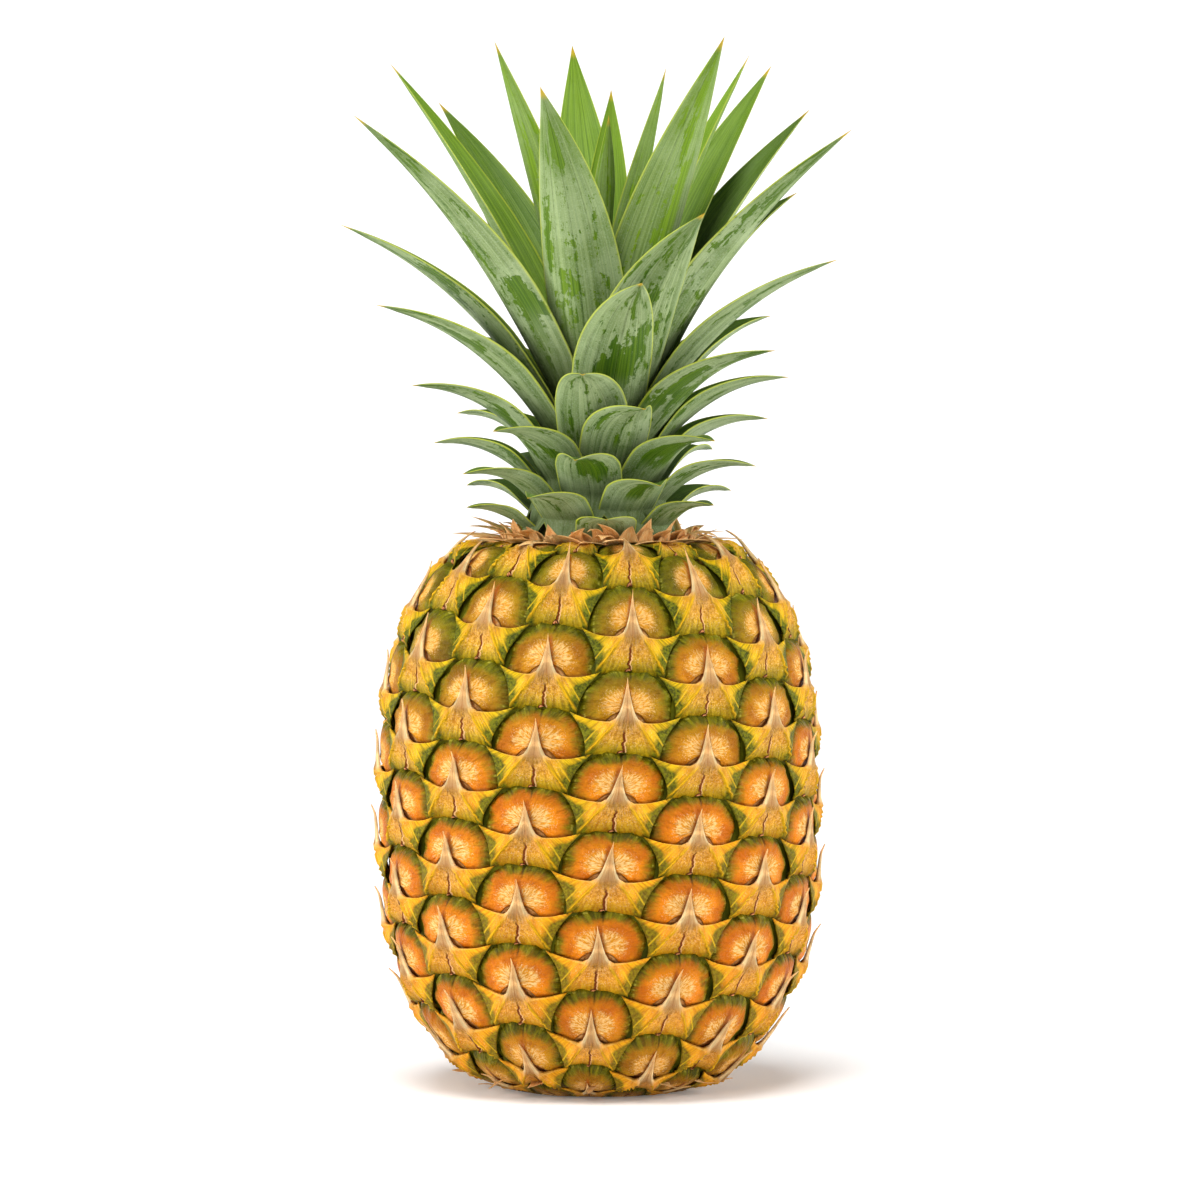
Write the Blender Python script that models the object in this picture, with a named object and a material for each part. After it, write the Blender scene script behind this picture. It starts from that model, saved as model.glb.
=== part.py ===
"""A pineapple standing on its cut base, with its crown on.

One fruit with a rind of eyes, each raised from the barrel by a formula and tipped by the spine of its bract,
the cut end of the stalk in the base, a ring of dried bracts on the shoulder, the short stem of the crown,
and the crown's leaves, each a solid of its own. The leaves lie on a family of nested surfaces of revolution
about the axis, so that none of them meets another. Metres, +Z up, -Y is the front, and the origin is the
middle of the base.
"""

import math
import random

import bpy
import numpy as np
from mathutils import geometry

MM = 0.001
GAP = 0.3
SEED = 11

# Fruit body, in millimetres
BASE_FLAT_R = 25.5
BELLY_R = 59.8
BELLY_Z = 84.0
SEAT_R = 26.0
SEAT_Z = 159.0
LOWER_POWER = 3.4
LOWER_ROUND = 0.93
UPPER_POWER = 3.0
UPPER_ROUND = 0.6
RING_SIDES = 32

# Eyes: sixteen steep rows, crossed by seven shallow rows one way and nine the other
COLUMNS = 16
SHALLOW_ROWS = 7
EYE_AREA = 543.0
TALLEST_EYE = 1.45
LEAN = math.radians(2.4)
FIRST_EYE_ANGLE = math.radians(18.6)
FIRST_EYE_ROW = 0.94
BASE_FADE = 15.0
SEAT_FADE = 15.0

# Cut stalk in the base
STALK_R = 14.0
STALK_DEPTH = 6.0

# Dried bracts round the foot of the crown
COLLAR_IN_R = 23.0
COLLAR_OUT_R = 27.0
COLLAR_TOOTH = 7.5
COLLAR_TEETH = 17
COLLAR_THICK = 0.9

# Crown
LEAVES = 54
GOLDEN_ANGLE = math.radians(137.508)
FIRST_LEAF_ANGLE = math.radians(-132.5)
STEM_FOOT_Z = SEAT_Z + GAP
FIRST_LEAF_Z = 161.2
LEAF_RISE = 45.5
STEM_R = 22.0
STEM_TIP_R = 2.6
BLADE_THICK = 1.05
EDGE_THICK = 0.62
MOST_WRAP = 0.68

# Directions of the upper leaves in degrees from the front, outermost first; the lower ones keep the golden angle
UPPER_LEAVES = (
    -85, 95, -6, 170, 60, -135, 125, -78, 9, 178,
    85, -92, 23, 130, -150, 68, -64, 122, -140, -11,
    130, -108, 36, -172, 108, -50, 170, 60, -100, 20,
)

RIND = (0.70, 0.40, 0.06, 1.0)
STALK = (0.62, 0.50, 0.30, 1.0)
DRY = (0.55, 0.30, 0.12, 1.0)
GREEN = (0.25, 0.38, 0.18, 1.0)
PALE_GREEN = (0.52, 0.58, 0.36, 1.0)


def material(name, colour, roughness):
    """A plain finish of one colour."""
    made = bpy.data.materials.new(name)
    made.use_nodes = True
    shader = made.node_tree.nodes["Principled BSDF"]
    shader.inputs["Base Color"].default_value = colour
    shader.inputs["Roughness"].default_value = roughness
    shader.inputs["Metallic"].default_value = 0.0
    made.diffuse_color = colour
    return made


def solid(name, points_mm, faces, finish):
    """An object from points in millimetres and faces that point outwards."""
    mesh = bpy.data.meshes.new(name)
    points = np.asarray(points_mm, float) * MM
    mesh.from_pydata([tuple(p) for p in points], [], [tuple(f) for f in faces])
    mesh.materials.append(finish)
    mesh.shade_smooth()
    mesh.set_sharp_from_angle(angle=math.radians(50))
    made = bpy.data.objects.new(name, mesh)
    bpy.context.scene.collection.objects.link(made)
    return made


def on_circle(radius, height, angle):
    """A point at an angle from the front, counted towards +X."""
    return (radius * math.sin(angle), -radius * math.cos(angle), height)


def smooth_step(x):
    x = np.clip(x, 0.0, 1.0)
    return x * x * (3 - 2 * x)


class Barrel:
    """The bare fruit's outline from base to crown seat, at the bottom of the grooves between the eyes.

    Below the belly the radius is BASE_FLAT_R plus the rest times (1 - depth ** power) ** round, where depth
    is 1 at the base and 0 at the belly. Above the belly the seat's radius and depth take their place.
    """

    def __init__(self, steps=600):
        ease = 0.5 - 0.5 * np.cos(np.linspace(0, math.pi, steps))
        low = 1 - ease
        high = ease[1:]
        low_r = BASE_FLAT_R + (BELLY_R - BASE_FLAT_R) * (1 - low**LOWER_POWER) ** LOWER_ROUND
        high_r = SEAT_R + (BELLY_R - SEAT_R) * (1 - high**UPPER_POWER) ** UPPER_ROUND
        self.r = np.concatenate([low_r, high_r])
        self.z = np.concatenate([BELLY_Z * (1 - low), BELLY_Z + (SEAT_Z - BELLY_Z) * high])
        step = np.hypot(np.diff(self.r), np.diff(self.z))
        mean_r = (self.r[1:] + self.r[:-1]) / 2
        self.s = np.concatenate([[0], np.cumsum(step)])
        width = mean_r * column_angle()
        height = np.minimum(EYE_AREA / width, TALLEST_EYE * width)
        self.row = np.concatenate([[0], np.cumsum(step / height)])
        self.log = np.concatenate([[0], np.cumsum(step / mean_r)])
        self.slope = np.arctan2(np.gradient(self.z), np.gradient(self.r))

    def at_row(self, row):
        """Radius, height, slope of the outline, distance along it and the flattening map's radius at a row."""
        values = [np.interp(row, self.row, v) for v in (self.r, self.z, self.slope, self.s, self.log)]
        return values[0], values[1], values[2], values[3], math.exp(values[4])

    def aspect(self, row):
        """Height over width of an eye at a row."""
        width = float(np.interp(row, self.row, self.r)) * column_angle()
        return min(EYE_AREA / width**2, TALLEST_EYE)


def column_angle():
    """Angle between two steep rows, so that sixteen columns close after seven rows of lean."""
    return (2 * math.pi + SHALLOW_ROWS * LEAN) / COLUMNS


# One eye: name, share of the half width, share of the half height, height above the groove in mm
EYE = (
    ("notch", 0.0, 1.0, 0.5),
    ("side_l", -1.0, 0.5, 0.0),
    ("side_r", 1.0, 0.5, 0.0),
    ("wing_l", -0.97, -0.08, 1.3),
    ("wing_r", 0.97, -0.08, 1.3),
    ("top_l", -0.36, 0.8, 2.8),
    ("top_r", 0.36, 0.8, 2.8),
    ("rim_l", -0.72, 0.52, 3.1),
    ("rim_r", 0.72, 0.52, 3.1),
    ("cheek_l", -0.76, 0.12, 3.0),
    ("cheek_r", 0.76, 0.12, 3.0),
    ("crease_l", -0.45, -0.08, 1.8),
    ("crease_r", 0.45, -0.08, 1.8),
    ("dome_l", -0.36, 0.32, 3.7),
    ("dome_r", 0.36, 0.32, 3.7),
    ("tip", 0.0, 0.52, 5.6),
    ("foot_l", -0.10, 0.30, 3.2),
    ("foot_r", 0.10, 0.30, 3.2),
    ("spine", 0.0, 0.10, 5.0),
    ("base_l", -0.22, -0.24, 4.0),
    ("base_r", 0.22, -0.24, 4.0),
    ("lip_l", -0.60, -0.22, 3.5),
    ("lip_r", 0.60, -0.22, 3.5),
    ("crest", 0.0, -0.36, 4.7),
    ("ridge_l", -0.42, -0.60, 4.1),
    ("ridge_r", 0.42, -0.60, 4.1),
    ("heel_l", -0.86, -0.88, 2.0),
    ("heel_r", 0.86, -0.88, 2.0),
    ("chin", 0.0, -0.82, 2.2),
    ("skirt_l", -0.86, -0.46, 1.5),
    ("skirt_r", 0.86, -0.46, 1.5),
)
EYE_LINES = (
    ("crest", "spine"),
    ("spine", "tip"),
    ("crest", "base_l"),
    ("crest", "base_r"),
    ("base_l", "lip_l"),
    ("base_r", "lip_r"),
    ("lip_l", "wing_l"),
    ("lip_r", "wing_r"),
    ("crest", "ridge_l"),
    ("crest", "ridge_r"),
    ("ridge_l", "heel_l"),
    ("ridge_r", "heel_r"),
)


def eye_rows(barrel):
    """Each eye's angle from the front and its row, for every eye that touches the barrel."""
    last = int(barrel.row[-1]) + 2
    for column in range(COLUMNS):
        for step in range(-SHALLOW_ROWS - 1, last + 1):
            row = FIRST_EYE_ROW + step + column * SHALLOW_ROWS / COLUMNS
            if -0.5 < row < barrel.row[-1] + 0.5:
                yield FIRST_EYE_ANGLE + column * column_angle() + step * LEAN, row


def fruit():
    """The rind: every eye's points are spread on a flat map of the barrel that keeps angles, joined there into
    triangles, and lifted off the barrel by their heights. The spine's tip stands above the eye it leans on."""
    barrel = Barrel()
    flat, points, lines = [], [], []

    def add(angle, row, lift):
        r, z, slope, s, map_r = barrel.at_row(row)
        fade = smooth_step(s / BASE_FADE) * smooth_step((barrel.s[-1] - s) / SEAT_FADE)
        out = lift * float(fade)
        points.append(on_circle(r + out * math.sin(slope), max(z - out * math.cos(slope), 0.0), angle))
        flat.append((map_r * math.cos(angle), map_r * math.sin(angle)))
        return len(points) - 1

    rim_rows = (0.0, barrel.row[-1])
    rims = [[add(2 * math.pi * k / RING_SIDES, row, 0.0) for k in range(RING_SIDES)] for row in rim_rows]
    for angle, row in eye_rows(barrel):
        made = {}
        for name, across, up, lift in EYE:
            bulge = barrel.aspect(row + up / 2) ** 2 / 8
            x = across * max(0.5 + bulge * (1 - 2 * abs(up)), 0.1)
            own_row = row + up / 2 + (SHALLOW_ROWS / COLUMNS - 0.5) * x
            if 0.04 < own_row < barrel.row[-1] - 0.04:
                made[name] = add(angle + x * column_angle() + up / 2 * LEAN, own_row, lift)
        lines += [(made[a], made[b]) for a, b in EYE_LINES if a in made and b in made]

    result = geometry.delaunay_2d_cdt(flat, lines, [], 0, 1e-6)
    faces = [f for f in result[2]]
    if len(result[0]) != len(points):
        raise ValueError(f"the map joined or cut points: {len(points)} became {len(result[0])}")
    origin = [ids[0] for ids in result[3]]
    inner = set(rims[0])
    shell = [tuple(origin[i] for i in reversed(f)) for f in faces]
    shell = [f for f in shell if not set(f) <= inner]
    return points, shell, rims


def close_fruit(points, shell, rims):
    """Adds the crown's flat seat, and a flat base with the pocket that holds the cut stalk."""
    points, faces = list(points), list(shell)
    foot, seat = rims
    pocket_r = STALK_R + GAP
    rings = [foot]
    for height in (0.0, STALK_DEPTH + GAP):
        rings.append(list(range(len(points), len(points) + RING_SIDES)))
        points += [on_circle(pocket_r, height, 2 * math.pi * k / RING_SIDES) for k in range(RING_SIDES)]
    for outer, inner in zip(rings, rings[1:]):
        for k in range(RING_SIDES):
            n = (k + 1) % RING_SIDES
            faces += [(outer[k], inner[n], outer[n]), (outer[k], inner[k], inner[n])]
    faces.append(tuple(reversed(rings[-1])))
    faces.append(tuple(seat))
    return points, faces


def turned(name, outline, sides, finish):
    """A solid turned about the axis from an outline of (radius, height), whose ends lie on the axis."""
    points = [(0.0, 0.0, outline[0][1])]
    for r, z in outline[1:-1]:
        points += [on_circle(r, z, 2 * math.pi * k / sides) for k in range(sides)]
    points.append((0.0, 0.0, outline[-1][1]))
    faces = []
    top = len(points) - 1
    rings = len(outline) - 2
    for k in range(sides):
        n = (k + 1) % sides
        faces.append((0, 1 + n, 1 + k))
        for ring in range(rings - 1):
            low, high = 1 + ring * sides, 1 + (ring + 1) * sides
            faces.append((low + k, low + n, high + n, high + k))
        last = 1 + (rings - 1) * sides
        faces.append((last + k, last + n, top))
    return solid(name, points, faces, finish)


def collar(finish):
    """The ring of dried bracts: a thin band on the shoulder whose outer edge runs out in curled teeth."""
    rng = random.Random(SEED)
    steps = 4
    count = COLLAR_TEETH * steps
    inner, outer = [], []
    for tooth in range(COLLAR_TEETH):
        reach = COLLAR_TOOTH * rng.uniform(0.7, 1.15)
        lift = rng.uniform(2.4, 4.8)
        for k in range(steps):
            share = 1 - abs(2 * k / steps - 1)
            angle = 2 * math.pi * (tooth + k / steps) / COLLAR_TEETH
            inner.append((COLLAR_IN_R, SEAT_Z + GAP, angle))
            outer.append((COLLAR_OUT_R + reach * share, SEAT_Z + 0.7 + lift * share, angle))
    points = []
    for low in (inner, outer):
        points += [on_circle(r, z, a) for r, z, a in low]
    for low in (inner, outer):
        points += [on_circle(r, z + COLLAR_THICK, a) for r, z, a in low]
    faces = []
    for k in range(count):
        n = (k + 1) % count
        a, b, c, d = k, n, count + n, count + k
        lift = 2 * count
        faces += [(a, b, d), (b, c, d)]
        faces += [(a + lift, d + lift, b + lift), (b + lift, d + lift, c + lift)]
        faces += [(d, c, c + lift), (d, c + lift, d + lift)]
        faces += [(b, a, a + lift), (b, a + lift, b + lift)]
    return solid("dried_bracts", points, faces, finish)


class Leaf:
    """One leaf of the crown, number i from the outermost.

    share runs from 0 for the outermost leaf to 1 for the innermost. The midrib is a curve in the half plane
    of radius and height: its elevation goes from base_rise to tip_rise as u ** BEND_POWER while u runs from
    0 at the stem to 1 at the tip. The blade is wrapped round the axis at the midrib's radius, and its edges
    are lifted off that surface by gutter * v ** 2, where v runs from -1 to 1 across it, less towards the tip.
    """

    BEND_POWER = 1.35

    def __init__(self, i, steps=160):
        rng = random.Random(SEED * 1000 + i)
        self.share = i / (LEAVES - 1)
        first_upper = LEAVES - len(UPPER_LEAVES)
        self.angle = FIRST_LEAF_ANGLE + i * GOLDEN_ANGLE
        if i >= first_upper:
            self.angle = math.radians(UPPER_LEAVES[i - first_upper])
        self.length = self.curve((14, 24, 31, 37, 52, 77, 109, 117, 76)) * rng.uniform(0.95, 1.05)
        self.base_rise = math.radians(self.curve((34, 40, 46, 51, 55, 58, 62, 68, 87)))
        self.tip_rise = math.radians(self.curve((-4, -18, -16, -9, 0, 14, 38, 54, 86)))
        self.half_width = self.curve((9.0, 9.5, 10.0, 10.6, 11.6, 12.8, 13.6, 12.4, 7.2))
        self.gutter = self.curve((1.6, 2.0, 2.6, 3.2, 3.6, 3.8, 3.6, 2.6, 1.6))
        self.sway = math.radians(rng.uniform(-3.5, 3.5))
        u = np.linspace(0, 1, steps)
        rise = self.base_rise + (self.tip_rise - self.base_rise) * u**self.BEND_POWER
        step = self.length / (steps - 1)
        foot_r = STEM_TIP_R + GAP + (STEM_R - STEM_TIP_R) * (1 - self.share) ** 0.8
        self.u = u
        self.rise = rise
        self.r = foot_r + np.concatenate([[0], np.cumsum(np.cos(rise[:-1]) * step)])
        self.z = FIRST_LEAF_Z + LEAF_RISE * self.share + np.concatenate([[0], np.cumsum(np.sin(rise[:-1]) * step)])

    def curve(self, values):
        """A value that follows evenly spaced stations from the outermost leaf to the innermost."""
        return float(np.interp(self.share, np.linspace(0, 1, len(values)), values))

    def width_at(self, u):
        """Half the width: 0.72 of the widest at the stem, widest at 0.36, and pointed at the tip."""
        widest = 0.36
        low = 1 - 0.28 * (1 - u / widest) ** 2
        high = 1 - np.clip((u - widest) / (1 - widest), 0, 1) ** (1.25 + 0.3 * self.share)
        return self.half_width * np.where(u < widest, low, high)

    def point(self, u, v, depth=0.0):
        """The point at u along and v across, depth under the upper face."""
        r, z, rise = (float(np.interp(u, self.u, c)) for c in (self.r, self.z, self.rise))
        wrap = min(float(self.width_at(u)) / r, MOST_WRAP)
        angle = self.angle + v * wrap + self.sway * u * u
        open_out = float(smooth_step(u / 0.55)) * float(self.width_at(u)) / self.half_width
        up = self.gutter * open_out * v * v - depth
        return on_circle(r - up * math.sin(rise), z + up * math.cos(rise), angle)

    def blade(self, rows, columns):
        """Points and faces of the closed blade: two faces alike, an edge strip, a butt and a pointed tip."""
        stations = [k / rows for k in range(rows)]
        across = [2 * c / (columns - 1) - 1 for c in range(columns)]
        points = []
        for under in (0, 1):
            for u in stations:
                for v in across:
                    thick = EDGE_THICK + (BLADE_THICK - EDGE_THICK) * (1 - v * v) * (1 - 0.5 * u)
                    points.append(self.point(u, v, thick * under))
        points.append(self.point(1.0, 0.0, EDGE_THICK / 2))
        tip = len(points) - 1
        under = rows * columns

        def at(row, column, side):
            return side * under + row * columns + column

        faces = []
        for row in range(rows - 1):
            for c in range(columns - 1):
                a, b = (at(row, c, 0), at(row, c + 1, 0))
                d, e = (at(row + 1, c, 0), at(row + 1, c + 1, 0))
                faces += [(a, e, b), (a, d, e)]
                faces += [tuple(i + under for i in f) for f in ((a, b, e), (a, e, d))]
            for c, flip in ((0, False), (columns - 1, True)):
                a, b = at(row, c, 0), at(row + 1, c, 0)
                strip = [(a, b + under, b), (a, a + under, b + under)]
                faces += [f[::-1] for f in strip] if flip else strip
        last = rows - 1
        for c in range(columns - 1):
            a, b = at(last, c, 0), at(last, c + 1, 0)
            faces += [(b, a, tip), (a + under, b + under, tip)]
            a, b = at(0, c, 0), at(0, c + 1, 0)
            faces += [(a, b, a + under), (a + under, b, b + under)]
        a, b = at(last, 0, 0), at(last, columns - 1, 0)
        faces += [(tip, a, a + under), (b + under, b, tip)]
        return points, faces


def crown_stem_outline():
    """The crown's stem, turned: it narrows with the feet of the leaves, a gap inside them."""
    outline = [(0.0, STEM_FOOT_Z), (STEM_R - 0.2, STEM_FOOT_Z)]
    for share in (0.0, 0.2, 0.4, 0.6, 0.8, 1.0):
        radius = 0.9 * (STEM_TIP_R + (STEM_R - STEM_TIP_R) * (1 - share) ** 0.8) - GAP
        outline.append((radius, FIRST_LEAF_Z + LEAF_RISE * share))
    outline.append((0.0, FIRST_LEAF_Z + LEAF_RISE + 1.0))
    return outline


def main():
    for old in list(bpy.data.objects):
        bpy.data.objects.remove(old, do_unlink=True)
    rind = material("rind", RIND, 0.45)
    stalk = material("cut_stalk", STALK, 0.8)
    dry = material("dried_bract", DRY, 0.7)
    green = material("leaf", GREEN, 0.5)
    pale = material("leaf_base", PALE_GREEN, 0.6)
    solid("fruit", *close_fruit(*fruit()), rind)
    turned("cut_stalk", [(0, 0), (STALK_R - 0.8, 0), (STALK_R, 0.8), (STALK_R, STALK_DEPTH), (0, STALK_DEPTH)], 32, stalk)
    collar(dry)
    turned("crown_stem", crown_stem_outline(), 24, pale)
    for i in range(LEAVES):
        leaf = Leaf(i)
        small = leaf.share < 0.5
        points, faces = leaf.blade(6, 3) if small else leaf.blade(8, 5)
        solid(f"crown_leaf_{i + 1:02d}", points, faces, green)


main()
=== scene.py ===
# %% [markdown]
# # A whole pineapple
#
# The fruit stands on its cut base with its crown on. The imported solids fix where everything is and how
# large it is. This lesson dresses them: the bare rind, the plump eyes, the bract and spine over each eye, the
# leaves of the crown, and the dry bits between, each as a surface worked out from a formula.

# %% Load the frame
import math
import random

import bpy
import numpy as np
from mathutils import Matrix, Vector


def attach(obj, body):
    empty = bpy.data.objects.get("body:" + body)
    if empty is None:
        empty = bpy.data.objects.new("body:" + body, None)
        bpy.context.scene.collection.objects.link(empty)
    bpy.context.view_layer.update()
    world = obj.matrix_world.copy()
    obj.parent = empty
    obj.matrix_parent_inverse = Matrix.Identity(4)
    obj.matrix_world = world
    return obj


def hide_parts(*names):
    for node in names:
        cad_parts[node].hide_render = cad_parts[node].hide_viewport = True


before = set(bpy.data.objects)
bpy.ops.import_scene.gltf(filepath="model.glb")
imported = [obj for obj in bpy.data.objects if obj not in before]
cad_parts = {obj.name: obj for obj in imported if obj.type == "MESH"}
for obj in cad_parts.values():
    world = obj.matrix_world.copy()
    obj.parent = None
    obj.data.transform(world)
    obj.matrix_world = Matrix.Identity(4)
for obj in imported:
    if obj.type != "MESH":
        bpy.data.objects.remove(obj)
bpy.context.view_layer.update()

MM = 0.001
rng = np.random.default_rng(7)

# %% [markdown]
# Every piece below is a numpy array of points in millimetres and an array of faces. One helper turns them
# into an object at the origin, with a UV map and point attributes for its material, and hides the solids it
# stands for. Reading UVs through the loop's vertex index works because no map here has a seam.

# %% Make an object from arrays
def smooth_step(x):
    """0 below 0, 1 above 1, and 3x^2 - 2x^3 between."""
    x = np.clip(x, 0.0, 1.0)
    return x * x * (3 - 2 * x)


def bump(x, width):
    """A bell of height 1 at x = 0 that falls off over width."""
    return np.exp(-((x / width) ** 2))


def make_piece(name, points, faces, finish, stands_for, slot, uv=None, **values):
    """An object from points in millimetres, (n, 3), and faces, (m, 3 or 4). Each value becomes a point
    attribute, one number for the piece or one for each point."""
    mesh = bpy.data.meshes.new(name)
    mesh.from_pydata(points * MM, [], faces.tolist())
    loops = np.empty(len(mesh.loops), np.int32)
    mesh.loops.foreach_get("vertex_index", loops)
    if uv is not None:
        layer = mesh.uv_layers.new(name="UVMap")
        layer.data.foreach_set("uv", uv[loops].astype(np.float32).ravel())
    for key, value in values.items():
        attribute = mesh.attributes.new(key, "FLOAT", "POINT")
        attribute.data.foreach_set("value", np.broadcast_to(value, len(points)).astype(np.float32))
    mesh.shade_smooth()
    mesh.materials.append(finish)
    piece = bpy.data.objects.new(name, mesh)
    bpy.context.scene.collection.objects.link(piece)
    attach(piece, "root")
    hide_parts(*stands_for)
    print(f"{name}: {len(points)} points, {len(faces)} faces")


def grid_faces(rows, columns, closed=False):
    """Four-sided faces of a grid of points, row by row; closed joins the last column to the first."""
    wide = columns if closed else columns - 1
    row, column = (n.ravel() for n in np.meshgrid(np.arange(rows - 1), np.arange(wide), indexing="ij"))
    after = (column + 1) % columns
    here, above = row * columns, (row + 1) * columns
    return np.stack([here + column, here + after, above + after, above + column], 1)


def rim_of_grid(rows, columns):
    """Indices of the points round a grid's edge, in order along row 0, up, back and down."""
    grid = np.arange(rows * columns).reshape(rows, columns)
    return np.concatenate([grid[0, :-1], grid[:-1, -1], grid[-1, :0:-1], grid[:0:-1, 0]])


def sheet_faces(rows, columns, turned=False):
    """Faces of a closed sheet: the first grid, the second one turned over, and the rim between them. turned
    has all of them face the other way."""
    half = rows * columns
    face = grid_faces(rows, columns)
    edge = rim_of_grid(rows, columns)
    after = np.roll(edge, -1)
    rim = np.stack([edge, edge + half, after + half, after], 1)
    if turned:
        face, rim = face[:, ::-1], rim[:, [0, 3, 2, 1]]
    return np.concatenate([face, face[:, ::-1] + half, rim])


def repeat_faces(faces, points_each, copies):
    """The same faces for several copies whose points follow one another."""
    shift = points_each * np.arange(copies)[:, None, None]
    return (faces[None] + shift).reshape(-1, faces.shape[1])


def fan_faces(hub, ring):
    """Triangles between one point, number hub, and a closed ring of points."""
    return np.stack([np.full(len(ring), hub), ring, np.roll(ring, -1)], 1)


def on_circle(radius, height, angle):
    """Points at an angle from the front, counted towards +X, as the solids have it."""
    return np.stack(np.broadcast_arrays(radius * np.sin(angle), -radius * np.cos(angle), height), -1)


# %% [markdown]
# A shader is easier to read as sums and products than as a list of nodes. A small class holds a socket, and
# its operators add the Math nodes. Colours go through Mix nodes, which a Math node would turn grey.

# %% Shader maths
class Link:
    """A node's output in one material, with arithmetic."""

    def __init__(self, maker, socket):
        self.maker = maker
        self.socket = socket

    def maths(self, operation, *others):
        return self.maker.node("ShaderNodeMath", {"operation": operation}, [self, *others])

    def __add__(self, other):
        return self.maths("ADD", other)

    def __sub__(self, other):
        return self.maths("SUBTRACT", other)

    def __mul__(self, other):
        return self.maths("MULTIPLY", other)

    def __truediv__(self, other):
        return self.maths("DIVIDE", other)

    def __pow__(self, other):
        return self.maths("POWER", other)

    def __rsub__(self, other):
        return (self * -1) + other

    def __abs__(self):
        return self.maths("ABSOLUTE")

    __radd__ = __add__
    __rmul__ = __mul__

    def step(self, low, high):
        """0 at low, 1 at high, eased between. high may be the smaller one."""
        if low > high:
            return 1 - self.step(high, low)
        settings = {"interpolation_type": "SMOOTHSTEP"}
        inputs = {"Value": self, "From Min": low, "From Max": high}
        return self.maker.node("ShaderNodeMapRange", settings, inputs, "Result")

    def at_most(self, limit):
        return self.maths("MINIMUM", limit)

    def at_least(self, limit):
        return self.maths("MAXIMUM", limit)

    def bell(self, centre, width):
        """1 at centre, falling to 0 over width on both sides."""
        return abs(self - centre).step(width, 0.0)


class Finish:
    """One material: its Principled BSDF, and one method that makes any other node."""

    def __init__(self, name, roughness, **constants):
        self.material = bpy.data.materials.new(name)
        self.material.use_nodes = True
        self.tree = self.material.node_tree
        self.shader = self.tree.nodes["Principled BSDF"]
        self.shader.inputs["Roughness"].default_value = roughness
        for key, value in constants.items():
            self.shader.inputs[key.replace("_", " ")].default_value = value

    def put(self, socket, value):
        if isinstance(value, Link):
            self.tree.links.new(value.socket, socket)
        else:
            socket.default_value = value

    def node(self, kind, settings, inputs, output=0):
        """A node of a type: its settings first, then its sockets' values or links, by name or in order."""
        made = self.tree.nodes.new(kind)
        for key, value in settings.items():
            setattr(made, key, value)
        pairs = inputs.items() if isinstance(inputs, dict) else enumerate(inputs)
        for key, value in pairs:
            self.put(made.inputs[key], value)
        return Link(self, made.outputs[output])

    def feed(self, name, value):
        self.put(self.shader.inputs[name], value)

    def mix(self, share, first, second):
        """first where share is 0 and second where it is 1, as colours: sockets 0, 6 and 7, and output 2."""
        return self.node("ShaderNodeMix", {"data_type": "RGBA"}, {0: share, 6: first, 7: second}, 2)

    def coats(self, colour, *coats):
        """A colour with others laid over it in turn, each given as its share and its colour."""
        for share, over in coats:
            colour = self.mix(share, colour, over)
        return colour

    def noise(self, place, scale, detail=3.0, roughness=0.55):
        """Cloudy noise about 0.5."""
        inputs = {"Vector": place, "Scale": scale, "Detail": detail, "Roughness": roughness}
        return self.node("ShaderNodeTexNoise", {}, inputs, "Fac")

    def object_place(self):
        return self.node("ShaderNodeTexCoord", {}, {}, "Object")

    def uv_place(self):
        return self.node("ShaderNodeUVMap", {"uv_map": "UVMap"}, {}, "UV")

    def split(self, vector):
        x = self.node("ShaderNodeSeparateXYZ", {}, [vector], "X")
        return x, Link(self, x.socket.node.outputs["Y"]), Link(self, x.socket.node.outputs["Z"])

    def join(self, x, y, z=0.0):
        return self.node("ShaderNodeCombineXYZ", {}, [x, y, z], "Vector")

    def bearing(self, up, along):
        """The angle whose tangent is up / along."""
        return self.node("ShaderNodeMath", {"operation": "ARCTAN2"}, [up, along])

    def value_of(self, name):
        return self.node("ShaderNodeAttribute", {"attribute_name": name}, {}, "Fac")

    def relief(self, height, distance, strength=1.0):
        inputs = {"Height": height, "Distance": distance, "Strength": strength}
        self.feed("Normal", self.node("ShaderNodeBump", {}, inputs, "Normal"))


# %% [markdown]
# ## The barrel and its rows of eyes
#
# The bare fruit is a surface of revolution, with the same outline as the solid. The eyes sit where sixteen
# steep rows cross seven and nine shallow ones. One function puts any point of any eye on the barrel, so that
# the plump part, the bract and the grooves can all be drawn in an eye's own flat coordinates: x across in
# columns, y up in rows, and lift off the barrel in millimetres.

# %% Outline of the bare fruit
BASE_FLAT_R, BELLY_R, BELLY_Z = 25.5, 59.8, 84.0
SEAT_R, SEAT_Z = 26.0, 159.0
COLUMNS, SHALLOW_ROWS = 16, 7
EYE_AREA, TALLEST_EYE = 543.0, 1.45  # mm2, and the most that an eye's height may be of its width
LEAN = math.radians(2.4)
FIRST_EYE_ANGLE, FIRST_EYE_ROW = math.radians(18.6), 0.84
BASE_FADE, SEAT_FADE, END_LIFT = 15.0, 15.0, 0.12
PAST_END = 10.0
COLUMN_ANGLE = (2 * math.pi + SHALLOW_ROWS * LEAN) / COLUMNS


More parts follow.
